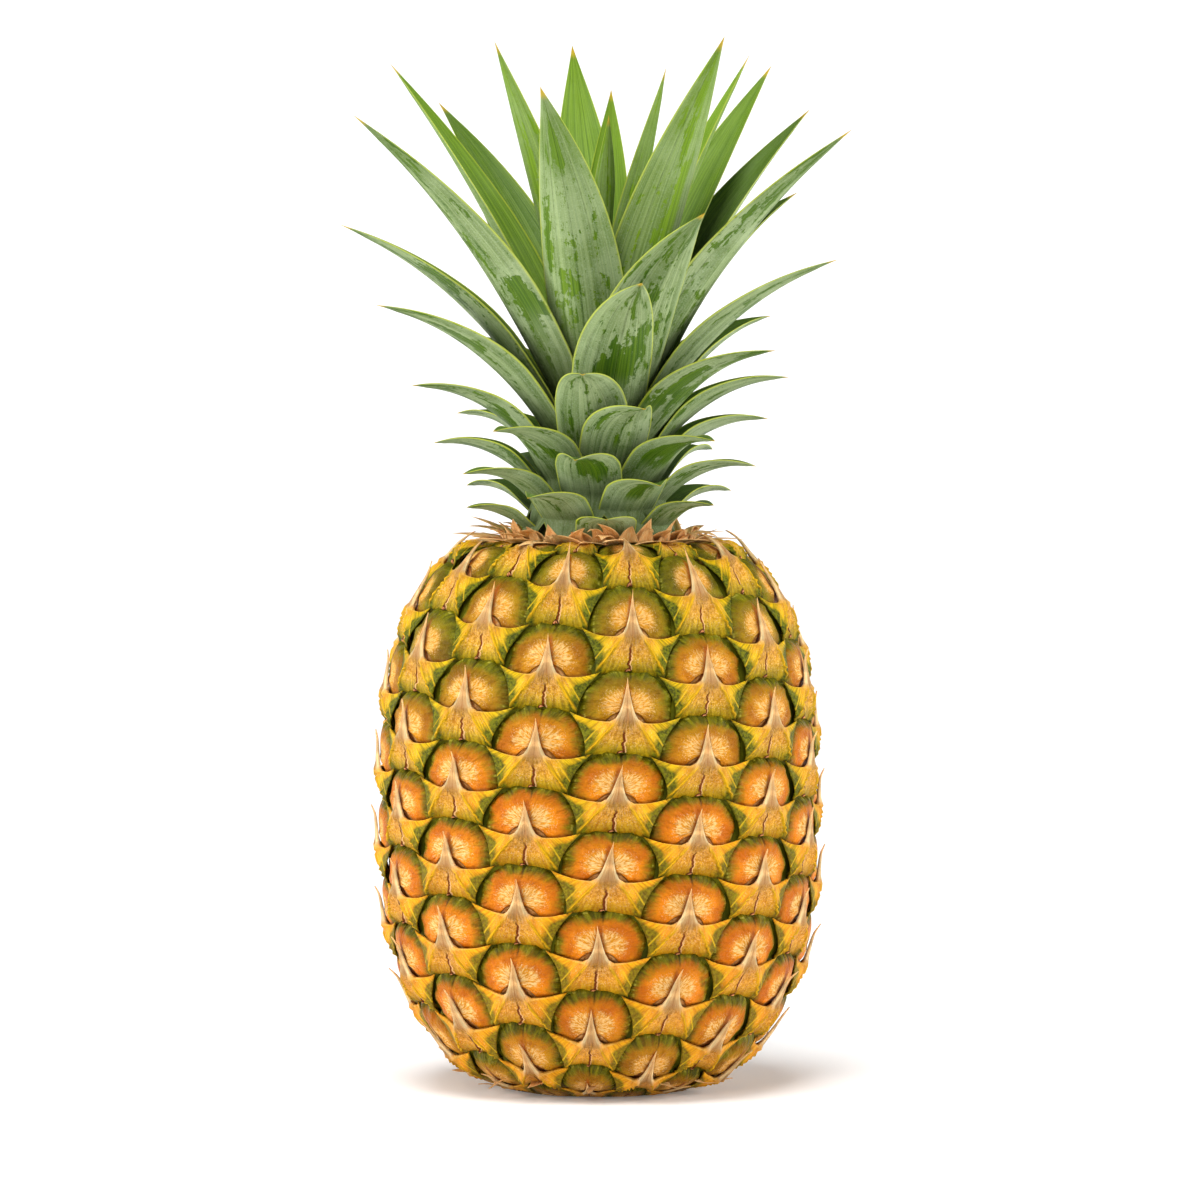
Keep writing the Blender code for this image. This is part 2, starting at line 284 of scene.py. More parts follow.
def barrel_outline(steps=1200):
    """Radius, height, distance along the outline, row count and slope, from the base to the crown's seat.

    Below the belly the radius is the base's plus the rest times (1 - depth^3.4)^0.93, and above it the
    seat's plus the rest times (1 - rise^3)^0.6. A row is as tall as keeps an eye's area the same."""
    ease = 0.5 - 0.5 * np.cos(np.linspace(0, math.pi, steps))
    low, high = 1 - ease, ease[1:]
    low_r = BASE_FLAT_R + (BELLY_R - BASE_FLAT_R) * (1 - low**3.4) ** 0.93
    high_r = SEAT_R + (BELLY_R - SEAT_R) * (1 - high**3) ** 0.6
    r = np.concatenate([low_r, high_r])
    z = np.concatenate([BELLY_Z * (1 - low), BELLY_Z + (SEAT_Z - BELLY_Z) * high])
    step = np.hypot(np.diff(r), np.diff(z))
    width = (r[1:] + r[:-1]) / 2 * COLUMN_ANGLE
    row = np.concatenate([[0], np.cumsum(step / np.minimum(EYE_AREA / width, TALLEST_EYE * width))])
    along = np.concatenate([[0], np.cumsum(step)])
    slope = np.arctan2(np.gradient(z), np.gradient(r))
    return {"r": r, "z": z, "s": along, "row": row, "slope": slope}


barrel = barrel_outline()
last_row = barrel["row"][-1]
print("rows of eyes:", round(last_row, 2), "length of outline in mm:", round(barrel["s"][-1], 1))


def end_fade(s):
    """0 at both ends of the outline and 1 between, from the distance s along it."""
    return smooth_step(s / BASE_FADE) * smooth_step((barrel["s"][-1] - s) / SEAT_FADE)


def on_barrel(angle, row, lift):
    """Points on the barrel at an angle and a row, lifted along its normal. The lift fades to END_LIFT of it
    at both ends. A row past an end goes inwards, PAST_END mm for a whole row, and never under the floor."""
    r, z, slope, s = (np.interp(row, barrel["row"], barrel[key]) for key in ("r", "z", "slope", "s"))
    out = lift * (END_LIFT + (1 - END_LIFT) * end_fade(s))
    beyond = (np.maximum(row - last_row, 0) + np.minimum(row, 0)) * PAST_END
    r = r + out * np.sin(slope) - np.abs(beyond)
    return on_circle(r, np.maximum(z - out * np.cos(slope) + beyond * 0.1, 0.25), angle)


# %% Where the eyes are
def eye_lattice():
    """Angle and row of every eye's middle: sixteen columns, each 7/16 of a row above its left neighbour."""
    steps = np.arange(-SHALLOW_ROWS - 1, int(last_row) + 3)
    column, step = np.meshgrid(np.arange(COLUMNS), steps, indexing="ij")
    row = FIRST_EYE_ROW + step + column * SHALLOW_ROWS / COLUMNS
    angle = FIRST_EYE_ANGLE + column * COLUMN_ANGLE + step * LEAN
    keep = (row > -0.35) & (row < last_row + 0.12)
    return angle[keep], row[keep]


eye_angle, eye_row = eye_lattice()
eye_count = len(eye_angle)
eye_tone = rng.random(eye_count)
eye_turn = rng.normal(0, 1, eye_count)
print("eyes:", eye_count)


def on_eyes(x, y, lift):
    """Points of every eye, (eyes, points, 3), from local x, y and lift, each (points) or (eyes, points)."""
    angle = eye_angle[:, None] + x * COLUMN_ANGLE + y * LEAN
    row = eye_row[:, None] + y + (SHALLOW_ROWS / COLUMNS - 0.5) * x
    return on_barrel(angle, row, lift)


# %% [markdown]
# ## The skin in the grooves
#
# Between the eyes the rind is a dark line. A plain turned skin, set a little under the eyes, shows there, and
# it closes the fruit round the base and under the crown. A skin with every groove pressed into it would need
# many more faces.

# %% Turned skin
GROOVE_LIFT = 1.5
POCKET_R, POCKET_Z = 14.3, 6.3


def turned_skin(sides=128, steps=90):
    """The barrel's outline turned about the axis, with the flat base and the pocket of the cut stalk."""
    pick = np.linspace(0, barrel["s"][-1], steps)
    r, z, slope = (np.interp(pick, barrel["s"], barrel[key]) for key in ("r", "z", "slope"))
    lift = GROOVE_LIFT * end_fade(pick)
    r, z = r + lift * np.sin(slope), np.maximum(z - lift * np.cos(slope), 0.1)
    r = np.concatenate([[7.0, POCKET_R, POCKET_R, 20.0], r, [SEAT_R / 2]])
    z = np.concatenate([[POCKET_Z, POCKET_Z, 0.0, 0.0], z, [SEAT_Z]])
    angle = np.arange(sides) * 2 * math.pi / sides
    points = on_circle(r[:, None], z[:, None], angle[None, :]).reshape(-1, 3)
    quads = grid_faces(len(r), sides, closed=True)
    count, first = len(points), np.arange(sides)
    below = fan_faces(count, first)[:, [0, 2, 1]]
    above = fan_faces(count + 1, count - sides + first)
    faces = np.concatenate([quads[:, :3], quads[:, [0, 2, 3]], below, above])
    return np.concatenate([points, [[0, 0, POCKET_Z], [0, 0, SEAT_Z]]]), faces


# %% [markdown]
# ## The eyes
#
# Each eye is a low cushion with steep sides, about 24 mm across, with a dent at the top and a fold on each
# side of the spine. A grid of rings and spokes follows its edge, where a square grid would leave steps. The
# same grid serves every eye, and each one gets its own small differences.

# %% Cushions
EDGE_OF_EYE = np.array([
    (0.555, 0.020), (0.568, 0.325), (0.425, 0.505), (0.225, 0.660), (0.000, 0.640), (-0.215, 0.670),
    (-0.415, 0.525), (-0.572, 0.340), (-0.565, 0.030), (-0.330, -0.120), (0.000, -0.200), (0.330, -0.120),
])
EYE_MIDDLE = np.array([0.0, 0.27])
EYE_LIFT, EYE_FOOT = 3.7, -0.6


def cushion_grid(spokes=48, rings=12):
    """Local x, y, and share of the way from the middle to the edge, for one eye's rings, middle first."""
    corner = np.arange(len(EDGE_OF_EYE) + 1)
    ends = np.concatenate([EDGE_OF_EYE, EDGE_OF_EYE[:1]])
    offset = np.stack([np.interp(np.arange(0, corner[-1], 0.1), corner, c) for c in ends.T], 1) - EYE_MIDDLE
    bearing = np.unwrap(np.arctan2(offset[:, 1], offset[:, 0]))
    reach = np.hypot(offset[:, 0], offset[:, 1])
    spoke = np.arange(spokes) * 2 * math.pi / spokes
    wrapped = np.interp(spoke, bearing, reach, period=2 * math.pi)
    share = (np.arange(1, rings + 1) / rings) ** 0.8
    x = EYE_MIDDLE[0] + share[:, None] * wrapped * np.cos(spoke)
    y = EYE_MIDDLE[1] + share[:, None] * wrapped * np.sin(spoke)
    share = np.broadcast_to(share[:, None], x.shape)
    middle_first = [np.append(m, grid) for m, grid in zip((*EYE_MIDDLE, 0.0), (x, y, share))]
    return middle_first, spokes, rings


def arch(x):
    """Height y of the fold beside the spine: highest near the spine, down to the bract on each side."""
    return 0.125 - 4.0 * np.clip(np.abs(x) - 0.06, 0, None) ** 2


def cushions():
    """Every eye's cushion. The lift is about EYE_LIFT (1 - share^5)^0.62 and swells by 0.9 above the middle.
    It loses a dent at the top, a shallow dish on each side of the spine and what lies under the fold, and it
    gains the fold's lip and the lobes near the edge. A point under the middle closes each one."""
    (x, y, share), spokes, rings = cushion_grid()
    bearing = np.arctan2(y - EYE_MIDDLE[1], x - EYE_MIDDLE[0])
    body = (1 - np.clip(share, 0, 1) ** 5) ** 0.62
    tone, turn = eye_tone[:, None], eye_turn[:, None]
    dent = 0.4 * bump(x - 0.012 * turn, 0.022) * smooth_step((y - 0.42) / 0.2)
    dish = 0.5 * bump(np.abs(x) - 0.17, 0.10) * bump(y - 0.27, 0.12)
    under = smooth_step((arch(x) - y) / 0.03) * smooth_step((0.25 - np.abs(x)) / 0.05)
    lip = 0.35 * bump(arch(x) - y + 0.025, 0.03) * smooth_step((0.25 - np.abs(x)) / 0.08)
    lobes = 0.30 * np.sin(9 * bearing + 6 * tone) + 0.16 * np.sin(14 * bearing + 11 * tone)
    lobes = lobes * bump(share - 0.84, 0.16)
    crown_of_eye = 0.9 * bump(x, 0.33) * bump(y - 0.36, 0.3)
    lift = (EYE_LIFT - 0.5 + 0.5 * (tone - 0.5)) * body + crown_of_eye * body
    lift = lift - dent - dish - 0.5 * under + lip + lobes
    lift = np.where(share > 0.999, EYE_FOOT, lift)
    x, y = np.append(x, EYE_MIDDLE[0]), np.append(y, EYE_MIDDLE[1])
    lift = np.concatenate([lift, np.full((eye_count, 1), EYE_FOOT)], 1)
    points = on_eyes(np.broadcast_to(x, lift.shape), np.broadcast_to(y, lift.shape), lift)
    each = len(x)
    hub = fan_faces(0, 1 + np.arange(spokes))
    quads = 1 + grid_faces(rings, spokes, closed=True)
    under_hub = fan_faces(each - 1, 1 + (rings - 1) * spokes + np.arange(spokes))[:, [0, 2, 1]]
    triangles = np.concatenate([hub, quads[:, [0, 3, 2]], quads[:, [0, 2, 1]], under_hub])
    uv = np.tile(np.stack([x, y], 1), (eye_count, 1))
    return points.reshape(-1, 3), repeat_faces(triangles, each, eye_count), uv, np.repeat(eye_tone, each)


# %% [markdown]
# ## The bracts
#
# Under each eye sits its bract, a leathery leaf shaped like a bat: two wings, two lower corners, and a spine
# that lies over the eye and lifts at its tip. Its outline has four sides, so one grid can be stretched
# between the upper edge, which runs over the spine, and the lower edge. The sheet is closed: a top, an
# underside a little lower, and a rim.

# %% Bracts
BRACT_COLUMNS, BRACT_ROWS = 33, 8
SPINE_SHARE = 0.42
SPINE_REACH = 0.47
FOLD_X, FOLD_SPREAD = 0.10, 0.70
KNOB = (-0.02, -0.385)


def bract_outline():
    """Local x and y of the bract's grid: its upper edge, its lower edge, and lines between that are pulled in
    at the sides. s runs across from -1 to 1, and t from the lower edge, 0, to the upper one, 1."""
    s = np.linspace(-1, 1, BRACT_COLUMNS)
    s = np.sign(s) * np.abs(s) ** 1.15
    t = np.linspace(0, 1, BRACT_ROWS)[:, None]
    side = np.clip((np.abs(s) - SPINE_SHARE) / (1 - SPINE_SHARE), 0, 1)
    spine = np.clip(np.abs(s) / SPINE_SHARE, 0, 1)
    wing_x = 0.155 + 0.460 * side
    wing_y = 0.005 + 0.085 * side**1.5 - 0.02 * np.sin(math.pi * side)
    spine_x = 0.105 * spine**1.4 + 0.05 * spine**10
    spine_y = 0.005 + 0.48 * (1 - spine)
    on_wing = side > 0
    upper_x = np.sign(s) * np.where(on_wing, wing_x, spine_x)
    upper_y = np.where(on_wing, wing_y, spine_y)
    lower_x = 0.40 * np.sign(s) * np.abs(s) ** 0.9
    lower_y = -0.395 - 0.05 * np.abs(s) ** 3 + 0.03 * bump(s, 0.12)
    rise = t**0.9
    x = (1 - rise) * lower_x + rise * upper_x - np.sign(s) * 0.06 * 4 * rise * (1 - rise) * np.abs(s) ** 3
    y = (1 - rise) * lower_y + rise * upper_y
    return x, y, np.broadcast_to(s, x.shape), np.broadcast_to(t, x.shape)


def bract_lift(x, y, s, t):
    """Height over the barrel: two folds run from the spine's foot to the lower corners, with a shallow valley
    between them and slopes outside that go down to the neighbours, a roll at the lower edge, a small knob
    there, and a spine that lies on the eye and hooks off it at its tip."""
    fold = FOLD_X + FOLD_SPREAD * np.clip(0.02 - y, 0, 1)
    out = np.abs(x) - fold
    crest = 4.1 + 1.0 * smooth_step((y + 0.35) / 0.35)
    slope = crest - (crest - 3.0) * smooth_step((out + 0.03) / 0.40) ** 0.75
    valley = crest - 1.3 * smooth_step(-out / 0.10) * smooth_step((0.05 - y) / 0.12)
    lift = np.where(out > 0, slope, valley)
    lift = lift + 0.8 * bump(out, 0.035) * smooth_step((0.06 - y) / 0.1)
    lift = lift * (0.62 + 0.38 * smooth_step(t / 0.22))
    lift = lift + 1.6 * bump(x - KNOB[0], 0.035) * bump(y - KNOB[1], 0.035)
    over = np.clip((y - 0.02) / 0.45, 0, 1)
    keel = 0.6 * np.clip(1 - np.abs(s) / (0.8 * SPINE_SHARE), 0, 1) * smooth_step((t - 0.5) / 0.3)
    return lift + keel * (1 - 0.5 * over) - 0.5 * over + 1.5 * over**6, over


def bracts():
    """Every bract as one closed sheet, with its spine bent and lengthened by its own small amount."""
    x, y, s, t = (grid.ravel() for grid in bract_outline())
    tone, turn = eye_tone[:, None], eye_turn[:, None]
    above = np.clip(y / SPINE_REACH, 0, 1)
    x_all = x * (1 + 0.05 * (tone - 0.5)) + above**2 * 0.02 * turn - 0.065 * np.maximum(y, 0)
    y_all = y * np.where(y > 0, 0.93 + 0.16 * tone, 1.0)
    top, over = bract_lift(x, y, s, t)
    stand = smooth_step((eye_row[:, None] - last_row + 1.7) / 0.9)
    top = top + 0.5 * (tone - 0.5) + over**1.6 * (2.2 + 2.5 * tone) * stand + 0.5 * over**5 * turn
    thick = 0.35 + 0.75 * (1 - above) * smooth_step((1.02 - np.abs(s)) / 0.3)
    low = np.maximum(top - thick, -0.4)
    points = np.concatenate([on_eyes(x_all, y_all, top), on_eyes(x_all, y_all, low)], 1)
    each = points.shape[1]
    faces = repeat_faces(sheet_faces(BRACT_ROWS, BRACT_COLUMNS), each, eye_count)
    uv = np.tile(np.stack([np.tile(x, 2), np.tile(y, 2)], 1), (eye_count, 1))
    return points.reshape(-1, 3), faces, uv, np.repeat(eye_tone, each)


# %% [markdown]
# ## Leaves of the crown
#
# Each leaf follows the midrib of its solid, but with a fine grid, a V along the midrib, thin edges and a
# drawn-out tip. It stays on the same nested surface, so leaves that touch in the crown never cut through
# each other.

# %% Leaf shapes
LEAVES, LEAF_SEED = 54, 11000
GOLDEN_ANGLE = math.radians(137.508)
FIRST_LEAF_ANGLE = math.radians(-132.5)
FIRST_LEAF_Z, LEAF_RISE = 161.2, 45.5
STEM_R, STEM_TIP_R = 22.0, 2.6
SHEATH, SHEATH_U = 9.0, 0.3
WIDEST, MOST_WRAP = 0.36, 0.68
TIP_U = 0.9985
UPPER_LEAVES = (
    -85, 95, -6, 170, 60, -135, 125, -78, 9, 178,
    85, -92, 23, 130, -150, 68, -64, 122, -140, -11,
    130, -108, 36, -172, 108, -50, 170, 60, -100, 20,
)


def stem_radius(z):
    """The stem narrows upwards as (1 - rise)^0.8."""
    return STEM_TIP_R + (STEM_R - STEM_TIP_R) * np.clip(1 - (z - FIRST_LEAF_Z) / LEAF_RISE, 0, 1) ** 0.8


class Leaf:
    """One leaf, number i from the outermost, with the values of its solid. Its midrib's slope goes from
    base_rise to tip_rise as u^1.35, and the sums of its cosine and sine give the radius and the height."""

    def __init__(self, i, steps=160):
        draw = random.Random(LEAF_SEED + i)
        self.share = i / (LEAVES - 1)
        first_upper = LEAVES - len(UPPER_LEAVES)
        self.angle = FIRST_LEAF_ANGLE + i * GOLDEN_ANGLE
        if i >= first_upper:
            self.angle = math.radians(UPPER_LEAVES[i - first_upper])
        self.length = self.along((14, 24, 31, 37, 52, 77, 109, 117, 76)) * draw.uniform(0.95, 1.05)
        base_rise = math.radians(self.along((34, 40, 46, 51, 55, 58, 62, 68, 87)))
        tip_rise = math.radians(self.along((-4, -18, -16, -9, 0, 14, 38, 54, 86)))
        self.half_width = self.along((9.0, 9.5, 10.0, 10.6, 11.6, 12.8, 13.6, 12.4, 7.2))
        self.gutter = self.along((1.6, 2.0, 2.6, 3.2, 3.6, 3.8, 3.6, 2.6, 1.6))
        self.sway = math.radians(draw.uniform(-3.5, 3.5))
        self.u = np.linspace(0, 1, steps)
        self.rise = base_rise + (tip_rise - base_rise) * self.u**1.35
        step = self.length / (steps - 1)
        foot_r = STEM_TIP_R + 0.3 + (STEM_R - STEM_TIP_R) * (1 - self.share) ** 0.8
        self.r = foot_r + np.concatenate([[0], np.cumsum(np.cos(self.rise[:-1]) * step)])
        climb = np.concatenate([[0], np.cumsum(np.sin(self.rise[:-1]) * step)])
        self.z = FIRST_LEAF_Z + LEAF_RISE * self.share + climb

    def along(self, values):
        """A value that follows evenly spaced stations from the outermost leaf to the innermost."""
        return float(np.interp(self.share, np.linspace(0, 1, len(values)), values))

    def width_at(self, u):
        """Half the width: a little less than the widest at the stem, widest at WIDEST, pointed at the tip."""
        low = (1 - (0.06 + 0.22 * self.share) * (1 - u / WIDEST) ** 2) * (1 + 2.3 * np.minimum(u, 0))
        x = np.clip((u - WIDEST) / (1 - WIDEST), 0, 1)
        high = (1 - x ** (1.25 + 0.3 * self.share)) * (1 - 0.25 * x**6)
        return self.half_width * np.where(u < WIDEST, low, high)

    def sheet(self, u, v, depth):
        """Points at u along and v across, depth under the upper face. The edges lift by gutter v^2, and the
        middle is pressed into a V along the midrib. Where u is below 0 the leaf's foot runs down the stem as
        a sheath that narrows, behind the leaves under it."""
        r, z, rise = (np.interp(u, self.u, c) for c in (self.r, self.z, self.rise))
        z = z + np.minimum(u, 0) / SHEATH_U * SHEATH
        r = np.where(u < 0, stem_radius(z) + 0.3, r)
        wrap = np.minimum(self.width_at(u) / r, MOST_WRAP)
        angle = self.angle + v * wrap + self.sway * u * u
        opening = smooth_step(u / 0.55) * self.width_at(u) / self.half_width
        up = opening * (self.gutter * v * v - 0.3 * bump(v, 0.12)) - depth
        return on_circle(r - up * np.sin(rise), z + up * np.cos(rise), angle)


def leaf_mesh(i, rows=45, columns=15):
    """The closed leaf: upper face, under face and rim, with UVs of v across and u along."""
    leaf = Leaf(i)
    u = np.concatenate([np.linspace(-SHEATH_U, -0.06, 5), np.linspace(0, 1, rows - 5) ** 0.92])
    u = np.minimum(u, TIP_U)[:, None]
    v = np.sin(np.linspace(-1, 1, columns) * math.pi / 2)[None, :]
    thick = (0.22 + 0.8 * (1 - v * v)) * (1 - 0.45 * np.maximum(u, 0)) * np.minimum(1, 0.12 + (1 - u) * 9)
    grids = [leaf.sheet(u, v, 0.05), leaf.sheet(u, v, 0.05 + thick)]
    points = np.concatenate([g.reshape(-1, 3) for g in grids])
    flat = np.stack(np.broadcast_arrays(v * 0.5 + 0.5, u), -1).reshape(-1, 2)
    under = np.repeat([0.0, 1.0], rows * columns)
    return points, sheet_faces(rows, columns, turned=True), np.concatenate([flat, flat]), under, leaf


# %% [markdown]
# ## Dry bits
#
# Round the foot of the crown the last bracts have dried and curled. They are narrow closed strips, each
# tapered, bent up and twisted by its own draw, around a plain ring.

# %% Curled dry bracts
def dry_strips(count, foot_r, foot_z, reach, width, rise, seed):
    """Pointed papery strips whose feet stand on a circle. Along each, u from 0 to 1, the radius grows by
    reach u^1.5 and the height by rise (u - curl u^3), and the half width is width (1 - u)^0.9. Each strip
    draws its own angle, reach, rise, curl, twist, width and bend."""
    draw = np.random.default_rng(seed)
    rows, columns = 11, 7
    u = np.linspace(0, 1, rows)[None, :, None]
    v = np.linspace(-1, 1, columns)[None, None, :]
    shape = (count, 1, 1)
    angle = (np.arange(count) / count * 2 * math.pi).reshape(shape) + draw.normal(0, 0.07, shape)
    own_reach = reach * draw.uniform(0.5, 1.5, shape)
    own_rise = rise * draw.uniform(0.6, 1.25, shape)
    curl = draw.uniform(-0.1, 0.9, shape)
    twist = draw.normal(0, 0.8, shape)
    half = width * draw.uniform(0.7, 1.2, shape) * np.clip(1 - u, 0.02, 1) ** 0.9
    r = foot_r + own_reach * u**1.5 + 0.9 * v * v * half / width * 1.5
    z = foot_z + own_rise * (u - curl * u**3) + twist * v * u * half * 0.6
    bend = draw.normal(0, 0.10, shape) * u**2
    outer = on_circle(r, z, angle + bend + v * half / foot_r)
    thin = 0.35 * (1.05 - u)
    inner = on_circle(r - thin, z + math.copysign(1, rise) * thin, angle + bend + v * half / foot_r)
    points = np.concatenate([outer.reshape(count, -1, 3), inner.reshape(count, -1, 3)], 1)
    faces = sheet_faces(rows, columns)
    uv = np.stack(np.broadcast_arrays(v[0] * 0.5 + 0.5, u[0]), -1).reshape(-1, 2)
    uv = np.tile(np.concatenate([uv, uv]), (count, 1))
    if rise < 0:
        faces = faces[:, ::-1]
    return points.reshape(-1, 3), repeat_faces(faces, points.shape[1], count), uv


# %% [markdown]
# ## Finishes
#
# The eye's colours follow its own flat coordinates, which the UV map holds: cream and granular in two patches
# beside the spine, orange round them, olive at the rim and darkened there as painted shade, and dark in the
# dent.
# Painted shade also lies along the spine's sides, just above the bract's wing and round the outer edge.
# Towards the top of the fruit everything turns greener, so the height in Object coordinates shifts the mix.

# %% Colours of the eyes
EYE_GOLD = (0.44, 0.160, 0.001, 1), (0.76, 0.320, 0.003, 1)
EYE_ORANGE = (0.50, 0.115, 0.001, 1), (0.84, 0.245, 0.002, 1)
EYE_BROWN = (0.12, 0.050, 0.001, 1), (0.27, 0.12, 0.002, 1)
EYE_GREEN = (0.030, 0.045, 0.001, 1), (0.17, 0.16, 0.003, 1)
# partly the rim's own olive and partly painted shade round the eye
EYE_OLIVE_AND_SHADE = (0.045, 0.050, 0.001, 1), (0.18, 0.17, 0.002, 1)
PATCH_ORANGE = (0.84, 0.38, 0.02, 1)
EYE_CREAM = (0.74, 0.28, 0.01, 1), (0.94, 0.62, 0.24, 1)
CREAM_DOTS = (0.95, 0.72, 0.42, 1)
FOLD_TAN = (0.62, 0.25, 0.05, 1), (0.85, 0.50, 0.20, 1)
FOLD_LINE = (0.18, 0.045, 0.002, 1)
# painted shade: a dark line on the eye along both sides of the spine lying over it
PAINTED_SHADE_BESIDE_SPINE = (0.30, 0.06, 0.001, 1)
# painted shade: the shadow under the bract's wing edge, painted on the eye
PAINTED_SHADE_ABOVE_WING = (0.13, 0.040, 0.001, 1)
DENT_DARK = (0.03, 0.018, 0.001, 1)
RIM_GLINT = (0.62, 0.55, 0.10, 1)
# painted shade: a dark outline at the eye's outer edge, where it dips into the groove
RIM_PAINTED_SHADE = (0.045, 0.045, 0.001, 1)
print("orange and cream of the eyes:", EYE_ORANGE, EYE_CREAM)

# %% Finish of the eyes
def spine_half_width(y):
    """Half the spine's width at y: 0.105 w^1.4 + 0.05 w^10, w from 1 at its foot to 0 at its tip."""
    w = (1.01 - y / 0.48).at_most(1.0).at_least(0.0)
    return w**1.4 * 0.105 + w**10 * 0.05


def wing_edge(across):
    """Height y of the bract's upper edge beside the spine, about 0.005 + 0.085 side^1.5."""
    side = ((across - 0.155) / 0.46).at_least(0.0)
    return side**1.5 * 0.085 + 0.005


def eye_finish():
    """Shares of each colour from local x and y, the distance from the middle (edge, 1 at the rim), the
    bearing round it and the height on the fruit, roughened by noise. The coats go on in the order listed."""
    f = Finish("eye_rind", 0.4, Specular_IOR_Level=0.10)
    place, tone = f.object_place(), f.value_of("tone")
    x, y, _ = f.split(f.uv_place())
    z = f.split(place)[2]
    across = abs(x)
    round_x, round_y = x / 0.54, (y - 0.22) / 0.43
    edge = ((abs(round_x) ** 2.6) + (abs(round_y) ** 2.6)) ** 0.385
    bearing = f.bearing(round_y, round_x)
    grain = f.noise(place, 2600.0, 3.0, 0.6)
    speck = f.noise(place, 1100.0, 4.0, 0.65)
    blotch = f.noise(place, 150.0, 4.0, 0.6)
    rays = f.noise(f.join(bearing * 2.6 + tone * 9, edge * 0.5, tone * 7), 3.0, 3.0, 0.65)

    ripe = (z + (tone - 0.5) * 0.03).step(0.165, 0.075) * (0.45 + 0.55 * z.step(0.008, 0.030))
    near_rim = edge + (blotch - 0.5) * 0.7 + (rays - 0.5) * 0.14
    high = (y + (blotch - 0.5) * 0.5).step(0.25, 0.62)
    browned = (near_rim.step(0.50, 1.0) * 0.55 + high * 0.45).at_most(1.0)
    unripe = (1 - ripe) * (0.4 + 0.6 * near_rim.step(0.1, 0.6))
    # olive rim of the eye, partly its own colour and partly painted shade that darkens the edge
    olive_and_shaded_rim = (near_rim + y * 0.2 - 0.05).step(0.66, 0.94)

    from_spine = ((x + 0.01) ** 2 + (y - 0.17) ** 2) ** 0.5
    stroke_place = f.join(f.bearing(y - 0.17, x + 0.01) * 4 + tone * 8, from_spine * 6, tone * 3)
    strokes = f.noise(stroke_place, 3.0, 2.5, 0.55)
    patch = across.bell(0.13, 0.27) * (y + across * 0.2).bell(0.27, 0.24)
    creamy = (patch * 1.2 + (strokes - 0.5) * 1.4 + (speck - 0.5) * 0.9).step(0.34, 1.0)
    dots = (grain - 0.5).step(0.07, 0.14) * patch.step(0.02, 0.3)

    arch_y = 0.125 - 4.0 * (across - 0.06).at_least(0.0) ** 2
    under = (arch_y - y).step(-0.004, 0.02) * across.step(0.26, 0.22)
    fold = abs(arch_y - y - 0.012).step(0.018, 0.004) * across.step(0.24, 0.19)
    # painted shade along both sides of the spine, where it lies on the eye
    shade_beside_spine = (abs(x + y * 0.065) - spine_half_width(y)).step(0.045, 0.0) * y.step(0.52, 0.40)
    # painted shade: a dark band on the eye just above the bract's wing edge
    shade_above_wing = (y - wing_edge(across)).step(0.035, 0.0)
    dent = abs(x + (blotch - 0.5) * 0.06).step(0.022, 0.002) * y.step(0.44, 0.56)
    glint = (rays - 0.5).step(0.02, 0.12) * edge.bell(0.90, 0.035) * across.step(0.05, 0.2)
    # painted shade round the eye's outer edge
    rim = (edge + (rays - 0.5) * 0.05).step(0.98, 1.10)

    clouded = blotch.step(0.36, 0.66)
    f.feed("Base Color", f.coats(
        f.mix(ripe, f.mix(clouded, *EYE_GOLD), f.mix(clouded, *EYE_ORANGE)),
        (browned, f.mix(rays.step(0.3, 0.7), *EYE_BROWN)),
        (unripe * 0.9, f.mix(blotch.step(0.3, 0.7), *EYE_GREEN)),
        (olive_and_shaded_rim * 0.9, f.mix(rays.step(0.35, 0.70), *EYE_OLIVE_AND_SHADE)),
        (patch.step(0.15, 0.85) * 0.6, PATCH_ORANGE),
        (creamy * (0.5 + 0.4 * ripe), f.mix(strokes.step(0.4, 0.6), *EYE_CREAM)),
        (dots * 0.35, CREAM_DOTS),
        (under * 0.85, f.mix(speck.step(0.35, 0.65), *FOLD_TAN)),
        (fold * 0.6, FOLD_LINE),
        (shade_beside_spine * 0.8, PAINTED_SHADE_BESIDE_SPINE),
        (shade_above_wing * 0.65, PAINTED_SHADE_ABOVE_WING),
        (dent * 0.75, DENT_DARK),
        (glint * 0.35, RIM_GLINT),
        (rim * 0.9, RIM_PAINTED_SHADE),
    ))
    f.feed("Roughness", 0.36 + 0.18 * speck + 0.2 * creamy)
    folds = f.noise(f.join(bearing * 1.3 + tone * 5, edge * 1.4, tone * 11), 3.0, 3.0, 0.55)
    bumps = speck * (0.3 + creamy * 0.5) + rays * edge.step(0.5, 0.95) + folds * 2.4 + blotch - fold
    f.relief(bumps, 0.0009, 0.9)
    return f.material


# %% [markdown]
# The bract is golden along its ridges, where a painted highlight is laid on, pinkish tan and stippled between
# them, green towards the corners and the lower edge and darkened there as painted shade, and pale with a
# mauve foot along the spine, whose cream edges carry a painted highlight. A thin crack runs down the middle.

# %% Colours of the bracts
BRACT_GOLD = (0.66, 0.23, 0.001, 1), (0.86, 0.40, 0.004, 1)
BRACT_LEAFY = (0.32, 0.24, 0.001, 1), (0.76, 0.49, 0.003, 1)
BRACT_BLUSH = (0.80, 0.30, 0.03, 1)
BRACT_TAN = (0.54, 0.18, 0.006, 1), (0.90, 0.46, 0.08, 1)
BRACT_GRAINS = (0.94, 0.66, 0.34, 1)
# green of the bract's corners and lower edge, partly its own colour and partly painted shade
BRACT_GREEN_AND_SHADE = (0.030, 0.042, 0.001, 1), (0.15, 0.155, 0.002, 1)
# painted highlight on the main fold ridges, over their own yellow
FOLD_YELLOW_AND_HIGHLIGHT = (0.92, 0.50, 0.008, 1)
